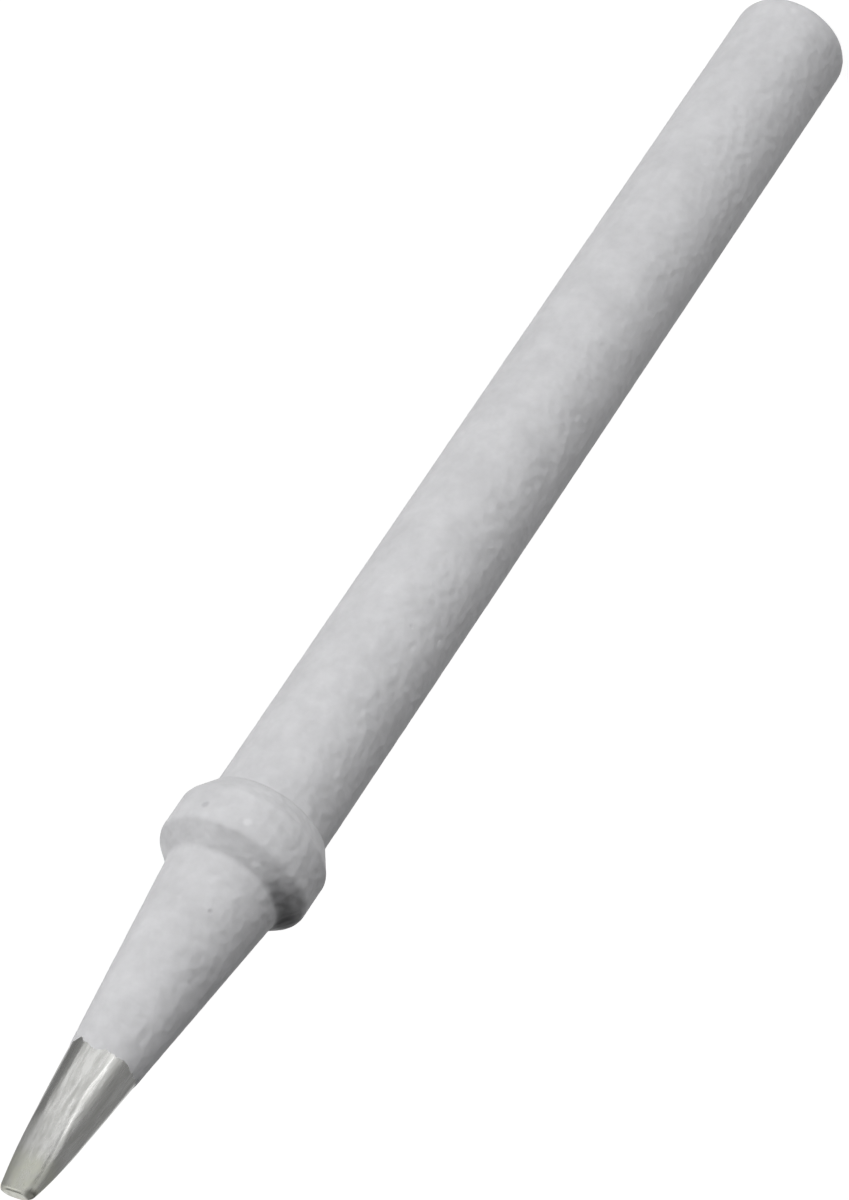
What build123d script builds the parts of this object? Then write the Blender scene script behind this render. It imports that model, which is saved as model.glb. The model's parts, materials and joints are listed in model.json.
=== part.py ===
from build123d import *
import os

# Soldering iron tip, turned from one copper rod and filed to a chisel at its end.
# The axis is Z: the rear end of the shank is at Z = 0 and the bit points up.
# The chisel is widest along X, and its two flats face +Y and -Y.

# Driving dimensions, in millimetres

# Shank, which slides into the heater barrel of the iron
shank_diameter = 5.5
shank_length = 51.2
rear_rim_radius = 1.0

# Collar, which stops against the mouth of the barrel and is held there by the retaining nut
collar_step = 0.84
collar_length = 3.8
collar_edge_radius = 0.45

# Bevel at the back of the collar, which leaves a narrow flat seat round the shank
back_bevel_length = 1.05
seat_width = 0.2

# Bevel at the front of the collar, down to the neck where the cone starts
front_bevel_length = 0.9
front_bevel_height = 0.88
neck_fillet_radius = 0.4

# Cone, and the chisel at its end
cone_length = 17.2
bit_width = 1.77
bit_thickness = 0.65
flat_length = 3.2
corner_radius = 0.28
edge_radius = 0.1

# Radii and heights that follow from them
shank_radius = shank_diameter / 2
seat_radius = shank_radius + seat_width
collar_radius = shank_radius + collar_step
neck_radius = collar_radius - front_bevel_height
bit_radius = bit_width / 2
neck_height = shank_length + collar_length
end_height = neck_height + cone_length

# Corners of the turned outline, as radius and height
rear_rim = (shank_radius, 0)
seat_root = (shank_radius, shank_length)
seat_rim = (seat_radius, shank_length)
back_rim = (collar_radius, shank_length + back_bevel_length)
front_rim = (collar_radius, neck_height - front_bevel_length)
neck = (neck_radius, neck_height)
bit_rim = (bit_radius, end_height)
bit_centre = (0, end_height)

# The flats run out where they meet the cone, and the cut that makes them runs past the metal
cone_slope = (neck_radius - bit_radius) / cone_length
run_out_radius = bit_radius + flat_length * cone_slope
flat_slope = (run_out_radius - bit_thickness / 2) / flat_length
overshoot = bit_radius

with BuildPart() as soldering_tip:
    # Turned blank
    with BuildSketch(Plane.XZ) as outline:
        with BuildLine():
            Polyline(
                (0, 0), rear_rim, seat_root, seat_rim, back_rim, front_rim, neck, bit_rim, bit_centre,
                close=True,
            )
        make_face()
        for corner, radius in (
            (rear_rim, rear_rim_radius),
            (back_rim, collar_edge_radius),
            (front_rim, collar_edge_radius),
            (neck, neck_fillet_radius),
            (bit_rim, corner_radius),
        ):
            fillet(outline.vertices().sort_by_distance(corner)[0], radius)
    revolve(axis=Axis.Z)

    # Two flats, filed on opposite sides of the end
    with BuildSketch(Plane.YZ):
        with BuildLine():
            Polyline(
                (bit_thickness / 2 - overshoot * flat_slope, end_height + overshoot),
                (run_out_radius + overshoot * flat_slope, end_height - flat_length - overshoot),
                (run_out_radius + overshoot * flat_slope, end_height + overshoot),
                close=True,
            )
        make_face()
        mirror(about=Plane.YZ)
    extrude(amount=run_out_radius, both=True, mode=Mode.SUBTRACT)

    # The edge round each flat is broken: the rounding runs on from the end along the flat's whole outline
    end_face = soldering_tip.faces().sort_by(Axis.Z)[-1]
    fillet(end_face.edges().filter_by(Axis.X), edge_radius)

soldering_tip.part.label = "soldering_tip"

os.makedirs("parts", exist_ok=True)
export_step(soldering_tip.part, "parts/soldering_tip.step")
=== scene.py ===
"""A soldering iron tip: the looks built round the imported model.

The tip stands on the rear end of its shank at Z = 0 and its chisel points up. Everything is in
metres in the frame of the CAD model. Outlines are written in millimetres, as on a drawing, and
are turned to metres where a mesh is made.
"""

import json
import logging
import math
from dataclasses import dataclass
from enum import Enum
from typing import Any

import bmesh
import bpy
import numpy as np
from mathutils import Matrix, Vector, noise


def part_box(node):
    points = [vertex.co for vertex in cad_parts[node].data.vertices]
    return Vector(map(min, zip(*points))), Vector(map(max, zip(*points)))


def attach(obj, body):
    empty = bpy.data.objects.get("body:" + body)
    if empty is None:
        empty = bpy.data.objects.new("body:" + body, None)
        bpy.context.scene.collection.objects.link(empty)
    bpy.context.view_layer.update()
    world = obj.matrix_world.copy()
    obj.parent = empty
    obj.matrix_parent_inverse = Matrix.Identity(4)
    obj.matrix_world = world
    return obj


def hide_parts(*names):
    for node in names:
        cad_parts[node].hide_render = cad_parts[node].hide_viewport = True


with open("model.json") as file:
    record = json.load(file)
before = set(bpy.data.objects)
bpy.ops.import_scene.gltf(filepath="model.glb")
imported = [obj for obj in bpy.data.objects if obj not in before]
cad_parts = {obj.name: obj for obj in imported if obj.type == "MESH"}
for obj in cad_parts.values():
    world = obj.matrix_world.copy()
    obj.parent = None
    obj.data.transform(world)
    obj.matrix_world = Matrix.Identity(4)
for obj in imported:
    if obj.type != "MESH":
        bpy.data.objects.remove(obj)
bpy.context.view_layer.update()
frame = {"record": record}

MM = 0.001
NODE = "soldering_tip"
BODY = "root"

# How far the clouds pull the patches' outlines about, in millimetres.
# On average it is half of this.
CLOUD_PULL = 0.5

log = logging.getLogger("soldering_tip")


def linear(hex_colour: str) -> tuple[float, float, float, float]:
    """Turns an sRGB hex colour to the opaque linear colour that a shader takes.

    Args:
        hex_colour: the colour as "#rrggbb".

    Returns:
        Red, green, blue and alpha.
    """
    channels = [int(hex_colour[i : i + 2], 16) / 255 for i in (1, 3, 5)]
    curved = [c / 12.92 if c <= 0.04045 else ((c + 0.055) / 1.055) ** 2.4 for c in channels]
    return (*curved, 1.0)


def add_node(
    tree: bpy.types.NodeTree,
    kind: str,
    inputs: dict[int | str, Any] | None = None,
    **settings: Any,
) -> bpy.types.Node:
    """Adds a node to a tree with its settings, its values and its links.

    Args:
        tree: the node tree.
        kind: the node's type name without its "ShaderNode" part.
        inputs: a value, or a socket to link from, for each input by name or number.
        settings: the node's own properties. "stops" sets a colour ramp's positions and colours.

    Returns:
        The new node.
    """
    node = tree.nodes.new("ShaderNode" + kind)
    stops = settings.pop("stops", None)
    for name, value in settings.items():
        setattr(node, name, value)
    if stops:
        ramp = node.color_ramp.elements
        while len(ramp) < len(stops):
            ramp.new(0.5)
        for element, (position, colour) in zip(ramp, stops):
            element.position = position
            element.color = colour
    for socket, value in (inputs or {}).items():
        if isinstance(value, bpy.types.NodeSocket):
            tree.links.new(value, node.inputs[socket])
        else:
            node.inputs[socket].default_value = value
    return node


def new_material(name: str) -> tuple[bpy.types.Material, bpy.types.NodeTree, bpy.types.Node]:
    """Makes an empty material with nodes.

    Args:
        name: the material's name.

    Returns:
        The material, its node tree and its output node.
    """
    material = bpy.data.materials.new(name)
    material.use_nodes = True
    tree = material.node_tree
    tree.nodes.clear()
    return material, tree, add_node(tree, "OutputMaterial")


def grey(level: float) -> tuple[float, float, float, float]:
    """Gives an opaque grey of that linear level."""
    return (level, level, level, 1.0)


def shown(tree: bpy.types.NodeTree) -> bpy.types.NodeSocket:
    """Tells the rays by which a thing is seen from those by which it only lights other things.

    Args:
        tree: the node tree.

    Returns:
        A socket that gives 1 for camera, glossy and transmission rays, and 0 for the others.
    """
    path = add_node(tree, "LightPath").outputs
    seen = path["Is Camera Ray"]
    for ray in ("Is Glossy Ray", "Is Transmission Ray"):
        seen = add_node(tree, "Math", {0: seen, 1: path[ray]}, operation="MAXIMUM").outputs[0]
    return seen


@dataclass(frozen=True)
class CoatPatch:
    """A patch of colour in the coat, used for real marks and for painted shade: where its middle
    lies, its radius, its colour, how much it covers and how many times wider than high it is.
    Sizes are in millimetres, bearings in degrees from +X."""

    bearing: float
    reach: float
    height: float
    radius: float
    colour: str
    strength: float = 1.0
    flatness: float = 1.0

    @property
    def centre(self) -> tuple[float, float, float]:
        """The patch's middle, moved as the clouds move the point that they are measured from."""
        turn = math.radians(self.bearing)
        x, y = self.reach * math.cos(turn), self.reach * math.sin(turn)
        moved = CLOUD_PULL / 2
        return (x + moved, y + moved, (self.height + moved) * self.flatness)


@dataclass(frozen=True)
class SprayedCoat:
    """Aluminium-pigmented silicone, sprayed on the nickel plating and baked.

    It keeps solder off the shank. To the eye it is a matt, slightly cool light grey with a fine
    grain of pigment, soft clouds where the spray was thicker, and a few dark pinholes.
    """

    thin: str = "#CBCBCD"
    thick: str = "#D5D5D7"
    pinhole: str = "#8E8E92"
    roughness: float = 0.62
    # How much the pigment's grain changes the roughness, and how dark its darkest grains are
    roughness_spread: float = 0.08
    grain_shade: float = 0.94
    specular: float = 0.35
    # The pigment is 0.02 to 0.05 mm across. It is drawn coarser, so that it shows in the render.
    grain_mm: float = 0.5
    grain_span: tuple[float, float] = (0.3, 0.7)
    cloud_mm: float = 1.9
    cloud_span: tuple[float, float] = (0.34, 0.66)
    peel_mm: float = 0.45
    peel_depth_mm: float = 0.076
    pinhole_spacing_mm: float = 2.1
    pinhole_radius_mm: float = 0.17
    pinhole_strength: float = 0.3
    # The levels of a cell at which its pinhole starts to show and at which it is deepest
    pinhole_span: tuple[float, float] = (0.45, 0.8)
    # The shares of their radii within which pinholes and patches cover the coat fully
    pinhole_core: float = 0.2
    patch_core: float = 0.3
    # Marks in the coat, and patches of painted shade
    marks_and_shade: tuple[CoatPatch, ...] = ()

    def build(self) -> bpy.types.Material:
        """Builds the material.

        Returns:
            The coat's material.
        """
        material, tree, output = new_material("sprayed_aluminium_silicone_coat")
        place = add_node(tree, "TexCoord").outputs["Object"]
        spot = add_node(tree, "Mapping", {"Vector": place, "Scale": (1 / MM,) * 3}).outputs[0]
        grain = add_node(
            tree,
            "TexNoise",
            {"Vector": spot, "Scale": 1 / self.grain_mm, "Detail": 2.0, "Roughness": 0.5},
        )
        # Orange peel: the spray's droplets ran together to low, soft lumps
        peel = add_node(
            tree,
            "TexNoise",
            {"Vector": spot, "Scale": 1 / self.peel_mm, "Detail": 0.5, "Roughness": 0.4},
        )
        clouds = add_node(
            tree,
            "TexNoise",
            {"Vector": spot, "Scale": 1 / self.cloud_mm, "Detail": 4.0, "Roughness": 0.6},
        )
        cloud_colour = add_node(
            tree,
            "ValToRGB",
            {"Fac": clouds.outputs[0]},
            stops=list(zip(self.cloud_span, (linear(self.thin), linear(self.thick)))),
        )
        grain_shade = add_node(
            tree,
            "ValToRGB",
            {"Fac": grain.outputs[0]},
            stops=list(zip(self.grain_span, (grey(self.grain_shade), grey(1.0)))),
        )
        grained = add_node(
            tree,
            "Mix",
            {0: 1.0, 6: cloud_colour.outputs[0], 7: grain_shade.outputs[0]},
            data_type="RGBA",
            blend_type="MULTIPLY",
        )
        cells = add_node(
            tree, "TexVoronoi", {"Vector": spot, "Scale": 1 / self.pinhole_spacing_mm}
        )
        hole_edge = self.pinhole_radius_mm / self.pinhole_spacing_mm
        hole = add_node(
            tree,
            "MapRange",
            {
                "Value": cells.outputs["Distance"],
                "From Min": hole_edge * self.pinhole_core,
                "From Max": hole_edge,
                "To Min": 1.0,
                "To Max": 0.0,
            },
            interpolation_type="SMOOTHSTEP",
        )
        # Somewhat more than half of the cells have a pinhole, and most of those are faint
        chosen = add_node(
            tree,
            "MapRange",
            {
                "Value": cells.outputs["Color"],
                "From Min": self.pinhole_span[0],
                "From Max": self.pinhole_span[1],
                "To Max": self.pinhole_strength,
            },
        )
        pitted = add_node(
            tree, "Math", {0: hole.outputs[0], 1: chosen.outputs[0]}, operation="MULTIPLY"
        )
        colour = add_node(
            tree,
            "Mix",
            {0: pitted.outputs[0], 6: grained.outputs[2], 7: linear(self.pinhole)},
            data_type="RGBA",
        )
        # The patches' outlines are pulled about by the clouds, so that none is a plain disc
        ragged = add_node(
            tree,
            "VectorMath",
            {0: clouds.outputs["Color"], 1: (CLOUD_PULL,) * 3, 2: spot},
            operation="MULTIPLY_ADD",
        ).outputs[0]
        for coat_patch in self.marks_and_shade:
            squeezed = add_node(
                tree, "VectorMath", {0: ragged, 1: (1, 1, coat_patch.flatness)}, operation="MULTIPLY"
            )
            away = add_node(
                tree,
                "VectorMath",
                {0: squeezed.outputs[0], 1: coat_patch.centre},
                operation="DISTANCE",
            )
            cover = add_node(
                tree,
                "MapRange",
                {
                    "Value": away.outputs["Value"],
                    "From Min": coat_patch.radius * self.patch_core,
                    "From Max": coat_patch.radius,
                    "To Min": coat_patch.strength,
                    "To Max": 0.0,
                },
                interpolation_type="SMOOTHSTEP",
            )
            colour = add_node(
                tree,
                "Mix",
                {0: cover.outputs[0], 6: colour.outputs[2], 7: linear(coat_patch.colour)},
                data_type="RGBA",
            )
        relief = add_node(
            tree,
            "Math",
            {0: peel.outputs[0], 1: pitted.outputs[0]},
            operation="SUBTRACT",
        )
        bump = add_node(
            tree,
            "Bump",
            {"Height": relief.outputs[0], "Distance": self.peel_depth_mm * MM, "Strength": 1.0},
        )
        rough = add_node(
            tree,
            "MapRange",
            {
                "Value": grain.outputs[0],
                "To Min": self.roughness - self.roughness_spread,
                "To Max": self.roughness + self.roughness_spread,
            },
        )
        shader = add_node(
            tree,
            "BsdfPrincipled",
            {
                "Base Color": colour.outputs[2],
                "Roughness": rough.outputs[0],
                "Specular IOR Level": self.specular,
                "Normal": bump.outputs[0],
            },
        )
        tree.links.new(shader.outputs[0], output.inputs[0])
        return material


@dataclass(frozen=True)
class HotDippedSolder:
    """Tin-lead solder on iron plating, hot dipped and wiped along the bit.

    To the eye it is bright metal with streaks along the bit where the wipe drew it out, a duller
    grey skin on the side that wasn't wiped, and a faint olive tinge of burnt flux near the end.
    Its colour also carries painted shade: a dark line round each flat's edge and a dark patch on
    one corner of the end.
    """

    bright: str = "#CACAC8"
    streak: str = "#B1B1AE"
    filed: str = "#BCBCBA"
    # How far inside the flat's plane its finish starts, and how far inside it is full
    flat_starts_mm: float = 0.085
    flat_full_mm: float = 0.045
    # A line of painted shade round each flat's edge: its colour and its strength
    edge_shade: str = "#8A8A87"
    edge_shade_strength: float = 0.22
    # Burnt flux tinges the end: how far below the end it starts, and how far below it is full
    flux: str = "#BDBEB3"
    flux_starts_mm: float = 2.2
    flux_full_mm: float = 1.2
    # Painted shade on one corner of the end: its middle from the end's centre, its reach, and
    # the share of the reach within which it covers most
    corner_shade: str = "#5E5E57"
    corner_shade_strength: float = 0.8
    corner_shade_mm: tuple[float, float, float] = (0.8, 0.15, -0.1)
    corner_shade_reach_mm: float = 0.42
    corner_shade_core: float = 0.35
    wiped_roughness: float = 0.2
    dull_roughness: float = 0.36
    # The wipe missed one flank of the chisel: its bearing from +X, how much rougher it is, how far
    # from the axis it starts and is full, and how far before and past the flat's start
    missed_bearing: float = 146.0
    missed_extra: float = 0.2
    missed_aside_mm: tuple[float, float] = (0.45, 0.85)
    missed_before_mm: float = 0.5
    missed_past_mm: float = 0.3
    # Burnt flux dries in patches of about this size, and thin ones dull by this share
    patch_mm: float = 0.45
    patch_span: tuple[float, float] = (0.35, 0.65)
    thin_patch: float = 0.45
    # The streaks are drawn at their real width, and their length is many times that
    streak_width_mm: float = 0.22
    streak_length_mm: float = 2.6
    streak_span: tuple[float, float] = (0.36, 0.62)
    roughness_span: tuple[float, float] = (0.3, 0.7)
    ripple_depth_mm: float = 0.009

    def build(self, sizes: "TipSizes") -> bpy.types.Material:
        """Builds the material.

        Args:
            sizes: the tip's sizes, which say where the flats and the end lie.

        Returns:
            The solder's material.
        """
        material, tree, output = new_material("hot_dipped_tin_lead_solder")
        place = add_node(tree, "TexCoord").outputs["Object"]
        across = 1 / (self.streak_width_mm * MM)
        along = 1 / (self.streak_length_mm * MM)
        drawn = add_node(
            tree, "Mapping", {"Vector": place, "Scale": (across, across, along)}
        ).outputs[0]
        streaks = add_node(
            tree, "TexNoise", {"Vector": drawn, "Scale": 1.0, "Detail": 4.0, "Roughness": 0.55}
        )
        colour = add_node(
            tree,
            "ValToRGB",
            {"Fac": streaks.outputs[0]},
            stops=list(zip(self.streak_span, (linear(self.streak), linear(self.bright)))),
        )
        axes = add_node(tree, "SeparateXYZ", {"Vector": place}).outputs
        # How far a point lies outside the plane of the nearer flat
        aside = add_node(tree, "Math", {0: axes["Y"]}, operation="ABSOLUTE")
        leaning = add_node(
            tree,
            "Math",
            {0: axes["Z"], 1: math.tan(sizes.flat_lean), 2: aside.outputs[0]},
            operation="MULTIPLY_ADD",
        )
        plane = (sizes.bit_thickness / 2 + sizes.end_height * math.tan(sizes.flat_lean)) * MM
        on_flat = add_node(
            tree,
            "MapRange",
            {
                "Value": leaning.outputs[0],
                "From Min": plane - self.flat_starts_mm * MM,
                "From Max": plane - self.flat_full_mm * MM,
            },
            interpolation_type="SMOOTHSTEP",
        )
        patches = add_node(
            tree,
            "TexNoise",
            {"Vector": place, "Scale": 1 / (self.patch_mm * MM), "Detail": 3.0, "Roughness": 0.6},
        )
        # The flats are duller than the cone, and most so where the patches are thick
        duller = add_node(
            tree,
            "MapRange",
            {
                "Value": patches.outputs[0],
                "From Min": self.patch_span[0],
                "From Max": self.patch_span[1],
                "To Min": self.thin_patch,
            },
        )
        flat_share = add_node(
            tree, "Math", {0: on_flat.outputs[0], 1: duller.outputs[0]}, operation="MULTIPLY"
        )
        filed = add_node(
            tree,
            "Mix",
            {0: flat_share.outputs[0], 6: colour.outputs[0], 7: linear(self.filed)},
            data_type="RGBA",
        )
        # A darker line of painted shade runs round each flat and marks its edge
        beside_flat = add_node(
            tree, "Math", {0: 1.0, 1: on_flat.outputs[0]}, operation="SUBTRACT"
        )
        edge_shade = add_node(
            tree, "Math", {0: on_flat.outputs[0], 1: beside_flat.outputs[0]}, operation="MULTIPLY"
        )
        # That product peaks at a quarter, and the factor of 4 brings its peak to the full strength
        edge_shade_share = add_node(
            tree, "Math", {0: edge_shade.outputs[0], 1: self.edge_shade_strength * 4}, operation="MULTIPLY"
        )
        edge_shaded = add_node(
            tree,
            "Mix",
            {0: edge_shade_share.outputs[0], 6: filed.outputs[2], 7: linear(self.edge_shade)},
            data_type="RGBA",
        )
        near_end = add_node(
            tree,
            "MapRange",
            {
                "Value": axes["Z"],
                "From Min": (sizes.end_height - self.flux_starts_mm) * MM,
                "From Max": (sizes.end_height - self.flux_full_mm) * MM,
            },
            interpolation_type="SMOOTHSTEP",
        )
        flux_share = add_node(
            tree, "Math", {0: near_end.outputs[0], 1: duller.outputs[0]}, operation="MULTIPLY"
        )
        flux_and_shade = add_node(
            tree,
            "Mix",
            {0: flux_share.outputs[0], 6: edge_shaded.outputs[2], 7: linear(self.flux)},
            data_type="RGBA",
        )
        # Painted shade on one corner of the end
        x, y, up = self.corner_shade_mm
        corner_away = add_node(
            tree,
            "VectorMath",
            {0: place, 1: (x * MM, y * MM, (sizes.end_height + up) * MM)},
            operation="DISTANCE",
        )
        corner_shade_share = add_node(
            tree,
            "MapRange",
            {
                "Value": corner_away.outputs["Value"],
                "From Min": self.corner_shade_reach_mm * self.corner_shade_core * MM,
                "From Max": self.corner_shade_reach_mm * MM,
                "To Min": self.corner_shade_strength,
                "To Max": 0.0,
            },
            interpolation_type="SMOOTHSTEP",
        )
        flux_and_shade = add_node(
            tree,
            "Mix",
            {0: corner_shade_share.outputs[0], 6: flux_and_shade.outputs[2], 7: linear(self.corner_shade)},
            data_type="RGBA",
        )
        bump = add_node(
            tree,
            "Bump",
            {
                "Height": streaks.outputs[0],
                "Distance": self.ripple_depth_mm * MM,
                "Strength": 1.0,
            },
        )
        rough = add_node(
            tree,
            "MapRange",
            {
                "Value": streaks.outputs[0],
                "From Min": self.roughness_span[0],
                "From Max": self.roughness_span[1],
                "To Min": self.dull_roughness,
                "To Max": self.wiped_roughness,
            },
        )
        turn = math.radians(self.missed_bearing)
        toward = add_node(
            tree,
            "VectorMath",
            {0: place, 1: (math.cos(turn), math.sin(turn), 0)},
            operation="DOT_PRODUCT",
        )
        on_side = add_node(
            tree,
            "MapRange",
            {
                "Value": toward.outputs["Value"],
                "From Min": self.missed_aside_mm[0] * MM,
                "From Max": self.missed_aside_mm[1] * MM,
            },
            interpolation_type="SMOOTHSTEP",
        )
        flat_start = sizes.end_height - sizes.flat_length
        on_chisel = add_node(
            tree,
            "MapRange",
            {
                "Value": axes["Z"],
                "From Min": (flat_start - self.missed_before_mm) * MM,
                "From Max": (flat_start + self.missed_past_mm) * MM,
            },
            interpolation_type="SMOOTHSTEP",
        )
        missed = add_node(
            tree, "Math", {0: on_side.outputs[0], 1: on_chisel.outputs[0]}, operation="MULTIPLY"
        )
        roughest = add_node(
            tree,
            "Math",
            {0: missed.outputs[0], 1: self.missed_extra, 2: rough.outputs[0]},
            operation="MULTIPLY_ADD",
        )
        shader = add_node(
            tree,
            "BsdfPrincipled",
            {
                "Base Color": flux_and_shade.outputs[2],
                "Metallic": 1.0,
                "Roughness": roughest.outputs[0],
                "Normal": bump.outputs[0],
            },
        )
        tree.links.new(shader.outputs[0], output.inputs[0])
        return material


@dataclass(frozen=True)
class TablePaper:
    """Matt white paper on the table.

    The camera, the metal and anything clear see it as white. Part of what they see stays plain
    paper, so that it keeps the tip's shadow.
    """

    paper: str = "#F0F0F0"
    roughness: float = 0.9
    specular: float = 0.2
    # The share of the look that stays plain paper, and the brightness of the white added to it
    plain_share: float = 0.35
    glow: float = 0.94
    # Paper fibres are 0.02 mm wide. They are drawn coarser, so that they show at all.
    fibre_mm: float = 0.4
    fibre_depth_mm: float = 0.02

    def build(self) -> bpy.types.Material:
        """Builds the material.

        Returns:
            The paper's material.
        """
        material, tree, output = new_material("matt_white_table_paper")
        place = add_node(tree, "TexCoord").outputs["Object"]
        fibre = add_node(
            tree, "TexNoise", {"Vector": place, "Scale": 1 / (self.fibre_mm * MM), "Detail": 3.0}
        )
        bump = add_node(
            tree, "Bump", {"Height": fibre.outputs[0], "Distance": self.fibre_depth_mm * MM}
        )
        paper = add_node(
            tree,
            "BsdfPrincipled",
            {
                "Base Color": linear(self.paper),
                "Roughness": self.roughness,
                "Specular IOR Level": self.specular,
                "Normal": bump.outputs[0],
            },
        )
        seen = shown(tree)
        hidden = add_node(tree, "Math", {0: seen, 1: 1 - self.plain_share}, operation="MULTIPLY")
        dimmed = add_node(
            tree,
            "MixShader",
            {
                0: hidden.outputs[0],
                1: paper.outputs[0],
                2: add_node(tree, "Emission", {"Strength": 0.0}).outputs[0],
            },
        )
        lit = add_node(tree, "Math", {0: seen, 1: self.glow}, operation="MULTIPLY")
        white = add_node(tree, "Emission", {"Color": grey(1.0), "Strength": lit.outputs[0]})
        mixed = add_node(tree, "AddShader", {0: dimmed.outputs[0], 1: white.outputs[0]})
        tree.links.new(mixed.outputs[0], output.inputs[0])
        return material


@dataclass(frozen=True)
class Corner:
    """A corner of a turned outline: radius, height and rounding, and how finely the run to the
    next corner is divided, all in millimetres."""

    radius: float
    height: float
    rounding: float = 0.0
    step: float = 0.06


def rounded_outline(corners: list[Corner], arc_steps: int = 9) -> np.ndarray:
    """Draws a turned outline with its corners rounded.

    Args:
        corners: the outline's corners in order. The first and last stay sharp.
        arc_steps: how many steps round each corner.

    Returns:
        Points as rows of radius and height, in millimetres.
    """
    drawn: list[np.ndarray] = [np.array([corners[0].radius, corners[0].height])]
    for before, corner, after in zip(corners, corners[1:], corners[2:] + [None]):
        here = np.array([corner.radius, corner.height])
        arc = [here]
        if after is not None and corner.rounding:
            back = np.array([before.radius, before.height]) - here
            ahead = np.array([after.radius, after.height]) - here
            back, ahead = back / np.linalg.norm(back), ahead / np.linalg.norm(ahead)
            half = math.acos(float(np.clip(back @ ahead, -1, 1))) / 2
            middle = (back + ahead) / np.linalg.norm(back + ahead)
            centre = here + middle * corner.rounding / math.sin(half)
            start = here + back * corner.rounding / math.tan(half) - centre
            end = here + ahead * corner.rounding / math.tan(half) - centre
            turn = math.acos(float(np.clip(start @ end / corner.rounding**2, -1, 1)))
            arc = [
                centre
                + (math.sin(turn * (1 - k)) * start + math.sin(turn * k) * end) / math.sin(turn)
                for k in np.linspace(0, 1, arc_steps)
            ]
        run = arc[0] - drawn[-1]
        parts = max(1, math.ceil(float(np.linalg.norm(run)) / before.step))
        drawn += [drawn[-1] + run * k / parts for k in range(1, parts)]
        drawn += arc
    return np.array(drawn)


def ripple(point: Vector, width: float, length: float) -> float:
    """Smooth noise that is drawn out along the tip's axis.

    Args:
        point: where, in millimetres.
        width: the size of a lump across the axis, in millimetres.
        length: its size along the axis, in millimetres.

    Returns:
        A value from about -1 to 1, the same at every run.
    """
    return noise.noise((point.x / width, point.y / width, point.z / length))


def ripples(point: Vector, layers: tuple[tuple[float, float, float], ...]) -> float:
    """Adds up ripples of several sizes.

    Args:
        point: where, in millimetres.
        layers: each ripple's share, width and length.

    Returns:
        A value from about -1 to 1, the same at every run.
    """
    return sum(share * ripple(point, width, length) for share, width, length in layers)


def mesh_of_rings(name: str, rings: np.ndarray, poles: tuple[Vector, Vector]) -> bpy.types.Object:
    """Makes a closed mesh from rings of points and a pole at each end.

    Args:
        name: the object's name.
        rings: rows of rings, each a row of points, in millimetres, from the first pole upwards.
        poles: the points that close the two ends.

    Returns:
        The new object, in metres, smooth shaded and with its faces turned outwards.
    """
    rows, columns = rings.shape[:2]
    shape = bmesh.new()
    grid = [[shape.verts.new(Vector(p) * MM) for p in ring] for ring in rings]
    first, last = (shape.verts.new(pole * MM) for pole in poles)
    for c in range(columns):
        d = (c + 1) % columns
        for low, high in zip(grid, grid[1:]):
            shape.faces.new((low[c], low[d], high[d], high[c]))
        shape.faces.new((first, grid[0][d], grid[0][c]))
        shape.faces.new((last, grid[-1][c], grid[-1][d]))
    for face in shape.faces:
        face.smooth = True
    bmesh.ops.recalc_face_normals(shape, faces=shape.faces)
    mesh = bpy.data.meshes.new(name)
    shape.to_mesh(mesh)
    shape.free()
    made = bpy.data.objects.new(name, mesh)
    bpy.context.scene.collection.objects.link(made)
    return made


@dataclass
class TipSizes:
    """The tip's sizes, in millimetres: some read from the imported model, the others as drawn."""

    shank_radius: float
    seat_height: float
    collar_radius: float
    end_height: float
    rear_rim_rounding: float = 1.0
    seat_width: float = 0.2
    back_bevel_length: float = 1.05
    collar_length: float = 3.8
    edge_rounding: float = 0.45
    front_bevel_length: float = 0.9
    front_bevel_height: float = 0.88
    neck_rounding: float = 0.4
    bit_width: float = 1.77
    bit_thickness: float = 0.65
    flat_length: float = 3.2
    corner_rounding: float = 0.28
    tinned_length: float = 6.95

    @classmethod
    def from_frame(cls) -> "TipSizes":
        """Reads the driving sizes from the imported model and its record."""
        low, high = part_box(NODE)
        mounts = {mount["name"]: mount for mount in frame["record"]["mounts"]}
        return cls(
            shank_radius=mounts["shank"]["dims"]["r_mm"],
            seat_height=mounts["collar_seat"]["pos_m"][2] / MM,
            collar_radius=(high.x - low.x) / 2 / MM,
            end_height=high.z / MM,
        )

    @property
    def neck_height(self) -> float:
        """Height of the neck, where the cone starts."""
        return self.seat_height + self.collar_length

    @property
    def neck_radius(self) -> float:
        """Radius of the cone where it starts."""
        return self.collar_radius - self.front_bevel_height

    @property
    def cone_slope(self) -> float:
        """How much the cone's radius shrinks for each millimetre of its length."""
        shrink = self.neck_radius - self.bit_width / 2
        return shrink / (self.end_height - self.neck_height)

    @property
    def flat_lean(self) -> float:
        """How far each flat leans from the tip's axis, as an angle in radians."""
        run_out = self.bit_width / 2 + self.flat_length * self.cone_slope
        return math.atan((run_out - self.bit_thickness / 2) / self.flat_length)

    @property
    def coat_end(self) -> float:
        """Height at which the coat stops and the tinned end starts."""
        return self.end_height - self.tinned_length

    def cone_radius(self, height: float) -> float:
        """Radius of the cone at that height."""
        return self.bit_width / 2 + (self.end_height - height) * self.cone_slope


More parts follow.
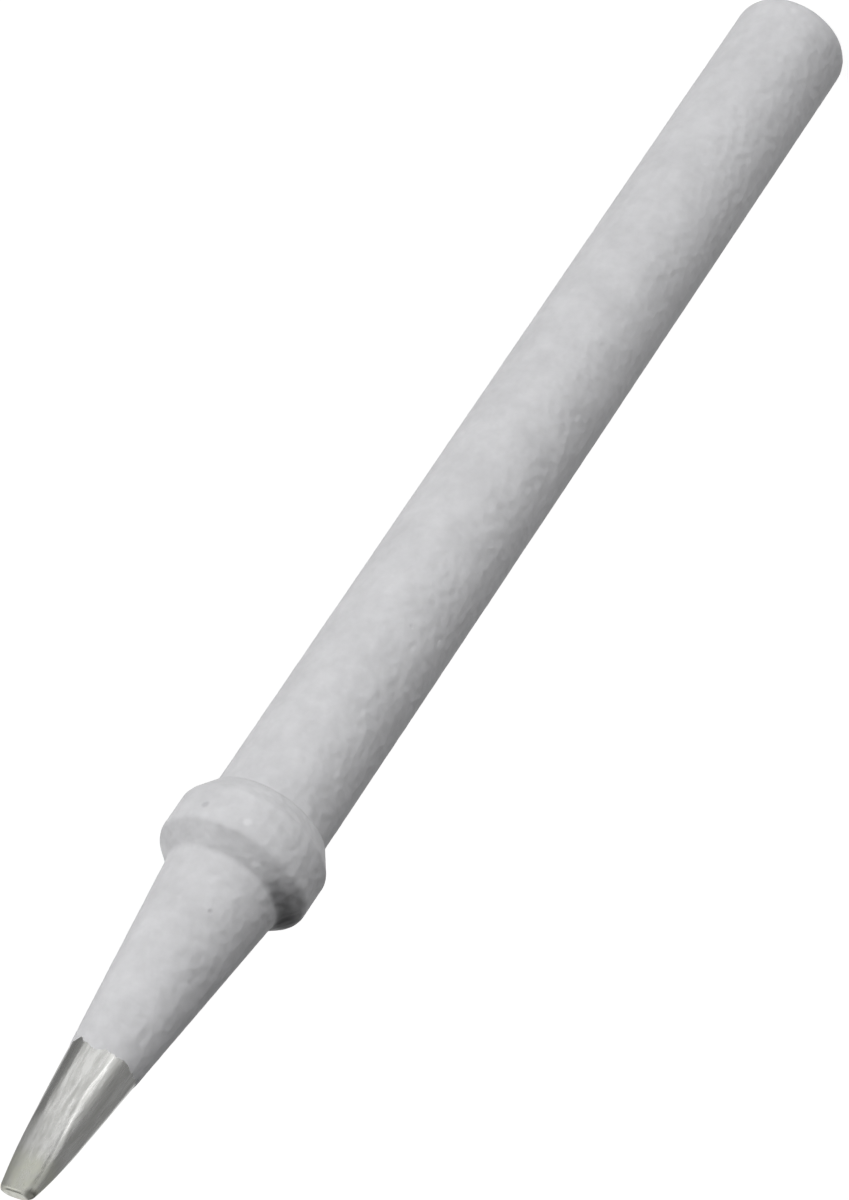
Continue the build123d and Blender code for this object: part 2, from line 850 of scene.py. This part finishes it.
@dataclass
class CoatedBody:
    """The shank, the collar and the cone under their grey coat, up to the tinned end."""

    sizes: TipSizes
    finish: SprayedCoat = SprayedCoat(
        marks_and_shade=(
            CoatPatch(66.0, 3.59, 53.5, 0.28, "#E2E2E4", 0.6),
            CoatPatch(101.0, 3.59, 53.4, 0.28, "#A8A8AC", 0.55),
            # Painted shade in the corner between the bevel and the cone:
            # a grey patch beside the cone, a black one and a thin rim
            CoatPatch(0.0, 2.95, 54.75, 1.9, "#3C3C3E", 0.5, 4.0),
            CoatPatch(-38.0, 3.1, 54.6, 1.6, "#242426", 0.9, 2.4),
            CoatPatch(-10.0, 3.42, 54.25, 1.6, "#4A4A4C", 0.2, 2.5),
        )
    )
    columns: int = 216
    shank_step: float = 0.22
    # The radius of the smallest ring at each end, which the pole closes
    hub_radius: float = 0.25
    # The coat pools in the corner between the shank and the seat
    pooled_radius: float = 0.17
    # The coat thins out over this length, to this far below the drawn cone
    feather_length: float = 0.3
    feather_depth: float = 0.05
    feather_rounding: float = 0.5
    # The coat's edge wanders in broad and fine waves, and the coat moves with it over this length
    edge_wave: float = 0.06
    edge_broad: float = 1.4
    edge_fine: float = 6.0
    edge_fine_share: float = 0.6
    edge_pull_length: float = 2.0
    # Where the brush left the coat's edge further on or further back: bearing, width and reach
    edge_lobes: tuple[tuple[float, float, float], ...] = ((81.0, 13.0, 0.2), (113.0, 8.0, -0.28))
    peel_depth: float = 0.012
    peel_layers: tuple[tuple[float, float, float], ...] = ((0.6, 0.5, 0.5), (0.4, 0.24, 0.24))
    # Broad lumps, full on the collar and for this length past it, and weaker on the rest
    lump_depth: float = 0.016
    lump_size: tuple[float, float] = (1.3, 1.8)
    lump_past_neck: float = 1.0
    lump_share_elsewhere: float = 0.5
    # The rear end up to this height, and the last of the coat, stay even
    even_rear: float = 0.3
    even_edge: float = 0.1

    def outline(self) -> np.ndarray:
        """Draws the turned outline.

        Returns:
            Points as rows of radius and height, from the rear end to the inside of the coat's edge.
        """
        s = self.sizes
        seat_radius = s.shank_radius + s.seat_width
        back_rim_height = s.seat_height + s.back_bevel_length
        front_rim_height = s.neck_height - s.front_bevel_length
        edge_radius = s.cone_radius(s.coat_end)
        feather_start = s.coat_end - self.feather_length
        feather_radius = s.cone_radius(feather_start)
        return rounded_outline(
            [
                Corner(self.hub_radius, 0.0, step=0.3),
                Corner(s.shank_radius, 0.0, s.rear_rim_rounding, step=self.shank_step),
                Corner(s.shank_radius, s.seat_height, self.pooled_radius, step=0.04),
                Corner(seat_radius, s.seat_height),
                Corner(s.collar_radius, back_rim_height, s.edge_rounding, step=0.08),
                Corner(s.collar_radius, front_rim_height, s.edge_rounding),
                Corner(s.neck_radius, s.neck_height, s.neck_rounding, step=0.12),
                Corner(feather_radius, feather_start, self.feather_rounding, step=0.03),
                Corner(edge_radius - self.feather_depth, s.coat_end, step=0.05),
                # The edge turns in under the solder's skin, where it can't be seen
                Corner(edge_radius - 3 * self.feather_depth, s.coat_end + 0.01, step=0.3),
                Corner(self.hub_radius, s.coat_end),
            ]
        )

    def unevenness(self, point: Vector) -> float:
        """Works out how far the sprayed surface lies inside the drawn one at a point.

        Args:
            point: a point of the drawn surface, in millimetres.

        Returns:
            The depth in millimetres, always zero or more.
        """
        s = self.sizes
        peel = ripples(point, self.peel_layers)
        # The shift only keeps the lumps from following the peel
        broad = ripple(point + Vector((7, 3, 1)), *self.lump_size)
        on_collar = s.seat_height < point.z < s.neck_height + self.lump_past_neck
        lump = self.lump_depth * (1.0 if on_collar else self.lump_share_elsewhere)
        return self.peel_depth * (1 + peel) + lump * (1 + broad) / 2

    def build(self) -> bpy.types.Object:
        """Builds the body's mesh and its finish.

        Returns:
            The body.
        """
        s = self.sizes
        outline = self.outline()
        angles = np.arange(self.columns) * math.tau / self.columns
        rings = np.zeros((len(outline), self.columns, 3))
        for c, angle in enumerate(angles):
            across = Vector((math.cos(angle), math.sin(angle), 0))
            broad = noise.noise(across * self.edge_broad)
            fine = noise.noise(across * self.edge_fine + Vector((0, 0, 3)))
            wave = self.edge_wave * (broad + self.edge_fine_share * fine)
            for bearing, width, reach in self.edge_lobes:
                wave += reach * math.exp(-(((math.degrees(angle) - bearing) / width) ** 2))
            for r, (radius, height) in enumerate(outline):
                reached = (height - s.coat_end + self.edge_pull_length) / self.edge_pull_length
                pull = min(1.0, max(0.0, reached))
                raised = height + wave * pull * pull
                point = across * float(radius) + Vector((0, 0, raised))
                uneven = self.even_rear < height < s.coat_end - self.even_edge
                depth = self.unevenness(point) if uneven else 0.0
                depth *= min(1.0, (s.coat_end - height) / self.feather_length)
                # The wave moves the coat's edge along the cone, and not off it
                slid = wave * pull * pull * s.cone_slope if radius > self.hub_radius else 0.0
                rings[r, c] = across * (radius - depth - slid)
                rings[r, c, 2] = raised
        body = mesh_of_rings(
            "coated_body", rings, (Vector((0, 0, 0)), Vector((0, 0, s.coat_end)))
        )
        body.data.materials.append(self.finish.build())
        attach(body, BODY)
        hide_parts(NODE)
        return body


@dataclass
class TinnedBit:
    """The tinned end: the last of the cone and the two flats that make its chisel."""

    sizes: TipSizes
    finish: HotDippedSolder = HotDippedSolder()
    columns: int = 300
    row_step: float = 0.045
    cap_rows: int = 56
    # How far the solder runs on under the coat, and how deep it lies there and at the end
    under_coat: float = 1.2
    below_coat: float = 0.03
    skin_at_end: float = 0.012
    skin_fade_length: float = 2.5
    side_rounding: float = 0.5
    end_rounding: float = 0.12
    # Rows below this depth run level, and those above it fan out over the end
    cap_depth: float = 0.3
    halvings: int = 30
    wave_depth: float = 0.012
    wave_layers: tuple[tuple[float, float, float], ...] = ((0.7, 0.45, 2.2), (0.3, 0.2, 0.7))

    @staticmethod
    def rounded_both(
        a: np.ndarray, b: np.ndarray, rounding: float | np.ndarray
    ) -> np.ndarray:
        """Joins two cuts with a rounded edge between them.

        Args:
            a: distances outside the first cut, negative inside it.
            b: distances outside the second cut.
            rounding: the radius of the edge where they meet.

        Returns:
            Distances outside the metal that both cuts leave.
        """
        a, b = a + rounding, b + rounding
        outside = np.hypot(np.maximum(a, 0), np.maximum(b, 0))
        return np.minimum(np.maximum(a, b), 0) + outside - rounding

    def outside(self, points: np.ndarray) -> np.ndarray:
        """Works out how far points lie outside the bit.

        Args:
            points: rows of x, y and z, in millimetres.

        Returns:
            Distances in millimetres, negative inside.
        """
        s = self.sizes
        x, y, z = points[..., 0], points[..., 1], points[..., 2]
        near_coat = np.clip(1 - (z - s.coat_end) / self.skin_fade_length, 0, 1)
        skin = self.skin_at_end + (self.below_coat - self.skin_at_end) * near_coat
        cone = np.hypot(x, y) - s.bit_width / 2 - (s.end_height - z) * s.cone_slope + skin
        cone = cone * math.cos(math.atan(s.cone_slope))
        end = z - s.end_height + self.skin_at_end
        flat = (np.abs(y) - s.bit_thickness / 2) * math.cos(s.flat_lean) + (
            z - s.end_height
        ) * math.sin(s.flat_lean)
        # Solder draws back from an edge, so the flats' long edges are much rounder than the end's
        sides = self.rounded_both(cone, flat + self.skin_at_end, self.side_rounding)
        corner = np.clip(np.abs(x) / (s.bit_width / 2), 0, 1) ** 2
        return self.rounded_both(
            sides, end, self.end_rounding + (s.corner_rounding - self.end_rounding) * corner
        )

    def build(self) -> bpy.types.Object:
        """Builds the bit's mesh and its finish.

        Returns:
            The bit.
        """
        s = self.sizes
        pivot = s.end_height - self.cap_depth
        bottom = s.coat_end - self.under_coat
        side_rows = math.ceil((pivot - bottom) / self.row_step)
        heights = np.concatenate(
            [np.linspace(bottom, pivot, side_rows), np.full(self.cap_rows, pivot)]
        )
        tilts = np.concatenate(
            [np.zeros(side_rows), np.linspace(0, math.pi / 2, self.cap_rows + 2)[1:-1]]
        )
        angles = np.arange(self.columns) * math.tau / self.columns
        toward = np.stack(
            [
                np.outer(np.cos(tilts), np.cos(angles)),
                np.outer(np.cos(tilts), np.sin(angles)),
                np.outer(np.sin(tilts), np.ones(self.columns)),
            ],
            axis=-1,
        )
        start = np.zeros_like(toward)
        start[..., 2] = heights[:, None]
        near = np.zeros(toward.shape[:2])
        far = np.full(toward.shape[:2], s.collar_radius)
        # Each ray's crossing of the surface is found by halving
        for _ in range(self.halvings):
            middle = (near + far) / 2
            inside = self.outside(start + toward * middle[..., None]) < 0
            near, far = np.where(inside, middle, near), np.where(inside, far, middle)
        for r, tilt in enumerate(tilts):
            for c in range(self.columns):
                point = Vector(start[r, c] + toward[r, c] * near[r, c])
                wave = ripples(point, self.wave_layers)
                calm = math.cos(tilt) ** 2
                near[r, c] -= self.wave_depth * (1 + wave * 2) / 2 * calm
        rings = start + toward * near[..., None]
        poles = (Vector((0, 0, bottom)), Vector((0, 0, s.end_height - self.skin_at_end)))
        bit = mesh_of_rings("tinned_bit", rings, poles)
        bit.data.materials.append(self.finish.build(s))
        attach(bit, BODY)
        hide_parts(NODE)
        return bit


class Lamp(Enum):
    """The studio's soft panels, in a low and a high ring round the tip: bearing in degrees from
    +X, distance, width, lowest and highest edge in metres, and the brightness of the panel."""

    LOW_WINDOW = (76.0, 0.45, 0.42, 0.0, 0.06, 13.7)
    LOW_RIGHT = (50.0, 0.45, 0.35, 0.0, 0.06, 2.4)
    LOW_BEHIND = (-80.0, 0.45, 0.35, 0.0, 0.06, 4.2)
    LOW_BACK = (-130.0, 0.45, 0.35, 0.0, 0.06, 9.0)
    HIGH_RIGHT = (45.0, 0.45, 0.35, 0.16, 0.34, 1.0)
    HIGH_WINDOW = (112.0, 0.45, 0.35, 0.16, 0.34, 3.8)
    HIGH_BEHIND = (184.0, 0.45, 0.35, 0.16, 0.34, 4.8)


class Card(Enum):
    """Cards that are seen only as reflections. Each is a sector of a ring round the tip: first and
    last bearing, reach and height of its first edge and of its second, in metres, and brightness.
    The first three lie just above the table, and the others stand or hang."""

    DARK_RIGHT = (-95.0, 17.0, 0.085, 0.001, 1.2, 0.001, 0.36)
    DARK_LEFT = (146.0, 205.0, 0.085, 0.0015, 1.2, 0.0015, 0.27)
    BRIGHT_STRIP = (38.0, 50.0, 0.10, 0.002, 0.6, 0.002, 2.6)
    GREY_LEFT = (129.0, 205.0, 0.30, 0.03, 0.30, 0.17, 0.52)
    DARK_EDGE = (-95.0, 70.0, 0.30, 0.03, 0.30, 0.158, 0.35)
    DARK_CORNER = (-105.0, -30.0, 0.30, 0.158, 0.30, 0.36, 0.2)
    BRIGHT_END = (-132.0, -108.0, 0.30, 0.20, 0.30, 0.33, 1.2)
    BRIGHT_TOP = (115.0, 150.0, 0.30, 0.171, 0.30, 0.37, 1.3)
    DARK_TOP = (160.0, 228.0, 0.25, 0.30, 0.10, 0.35, 0.3)


@dataclass
class Studio:
    """The pale table, the lamps and the camera of the photograph."""

    camera_bearing: float = 55.0822
    camera_height_angle: float = 31.5029
    camera_roll: float = 146.049
    camera_distance: float = 276.35 * MM
    aim: tuple[float, float, float] = (0.248 * MM, -0.174 * MM, 37.405 * MM)
    focal_length_px: float = 6288.7
    photo_height_px: float = 1200.0
    sensor: float = 36.0
    world_fill: float = 0.01
    world_look: float = 0.85
    table_radius: float = 2.5
    table_sides: int = 96
    card_parts: int = 12
    clip: tuple[float, float] = (0.01, 20.0)

    def direction(self, bearing: float, height_angle: float = 0.0) -> Vector:
        """Gives the unit vector towards a bearing from +X and an angle above the level."""
        b, h = math.radians(bearing), math.radians(height_angle)
        return Vector((math.cos(b) * math.cos(h), math.sin(b) * math.cos(h), math.sin(h)))

    def add_camera(self) -> bpy.types.Object:
        """Adds the camera at the photograph's viewing angle.

        Returns:
            The camera, which is also the scene's camera.
        """
        back = self.direction(self.camera_bearing, self.camera_height_angle)
        level = (-back).cross(Vector((0, 0, 1))).normalized()
        upright = level.cross(-back)
        roll = math.radians(self.camera_roll)
        up = upright * math.cos(roll) + level * math.sin(roll)
        right = (-back).cross(up)
        camera = bpy.data.objects.new("camera", bpy.data.cameras.new("camera"))
        camera.matrix_world = Matrix.Translation(
            Vector(self.aim) + back * self.camera_distance
        ) @ Matrix((right, up, back)).transposed().to_4x4()
        camera.data.sensor_width = self.sensor
        camera.data.lens = self.focal_length_px / self.photo_height_px * self.sensor
        camera.data.clip_start, camera.data.clip_end = self.clip
        bpy.context.scene.collection.objects.link(camera)
        bpy.context.scene.camera = camera
        return camera

    def add_table(self) -> bpy.types.Object:
        """Adds the pale table that the tip stands on.

        Returns:
            The table.
        """
        shape = bmesh.new()
        ring = [
            shape.verts.new(self.direction(360 * k / self.table_sides) * self.table_radius)
            for k in range(self.table_sides)
        ]
        shape.faces.new(ring)
        mesh = bpy.data.meshes.new("table")
        shape.to_mesh(mesh)
        shape.free()
        table = bpy.data.objects.new("table", mesh)
        table.data.materials.append(TablePaper().build())
        bpy.context.scene.collection.objects.link(table)
        return table

    def add_lamp(self, lamp: Lamp) -> bpy.types.Object:
        """Adds one soft panel lamp that faces the axis. Neither the camera nor the metal sees it.

        Args:
            lamp: which lamp.

        Returns:
            The lamp.
        """
        bearing, distance, width, low, high, brightness = lamp.value
        data = bpy.data.lights.new(lamp.name.lower(), "AREA")
        data.shape = "RECTANGLE"
        data.size, data.size_y = width, high - low
        data.energy = brightness * math.pi * width * (high - low)
        made = bpy.data.objects.new(lamp.name.lower(), data)
        made.location = self.direction(bearing) * distance + Vector((0, 0, (low + high) / 2))
        made.rotation_euler = self.direction(bearing).to_track_quat("Z", "Y").to_euler()
        made.visible_camera = made.visible_glossy = False
        bpy.context.scene.collection.objects.link(made)
        return made

    def add_card(self, card: Card) -> bpy.types.Object:
        """Adds one card, which the camera and diffuse rays don't see and which casts no shadow.

        Args:
            card: which card.

        Returns:
            The card.
        """
        first, last, *edges, brightness = card.value
        name = card.name.lower()
        shape = bmesh.new()
        parts = self.card_parts
        bearings = [first + (last - first) * k / parts for k in range(parts + 1)]
        inner, outer = (
            [shape.verts.new(self.direction(b) * reach + Vector((0, 0, height))) for b in bearings]
            for reach, height in (edges[:2], edges[2:])
        )
        for k in range(parts):
            shape.faces.new((inner[k], outer[k], outer[k + 1], inner[k + 1]))
        mesh = bpy.data.meshes.new(name)
        shape.to_mesh(mesh)
        shape.free()
        material, tree, output = new_material(name)
        glow = add_node(tree, "Emission", {"Color": grey(1.0), "Strength": brightness})
        tree.links.new(glow.outputs[0], output.inputs[0])
        mesh.materials.append(material)
        made = bpy.data.objects.new(name, mesh)
        made.visible_camera = made.visible_diffuse = made.visible_shadow = False
        bpy.context.scene.collection.objects.link(made)
        return made

    def light_world(self) -> None:
        """Gives the room a plain pale look to the camera and the metal, and a dim fill light."""
        world = bpy.data.worlds.new("room")
        bpy.context.scene.world = world
        world.use_nodes = True
        tree = world.node_tree
        seen = shown(tree)
        level = add_node(
            tree,
            "MapRange",
            {"Value": seen, "To Min": self.world_fill, "To Max": self.world_look},
        )
        sky = tree.nodes["Background"]
        sky.inputs["Color"].default_value = grey(1.0)
        tree.links.new(level.outputs[0], sky.inputs["Strength"])

    def build(self) -> list[bpy.types.Object]:
        """Builds the whole studio.

        Returns:
            The camera, the table, the lamps and the cards.
        """
        self.light_world()
        bpy.context.scene.view_settings.view_transform = "Standard"
        return [
            self.add_camera(),
            self.add_table(),
            *(self.add_lamp(lamp) for lamp in Lamp),
            *(self.add_card(card) for card in Card),
        ]


def main() -> None:
    """Builds the tip and its studio, and reports each piece."""
    logging.basicConfig(level=logging.INFO, format="%(name)s: %(message)s")
    sizes = TipSizes.from_frame()
    for piece in (CoatedBody(sizes).build(), TinnedBit(sizes).build()):
        log.info("%s: %d faces", piece.name, len(piece.data.polygons))
    for thing in Studio().build():
        log.info("studio: %s", thing.name)


if __name__ == "__main__":
    main()
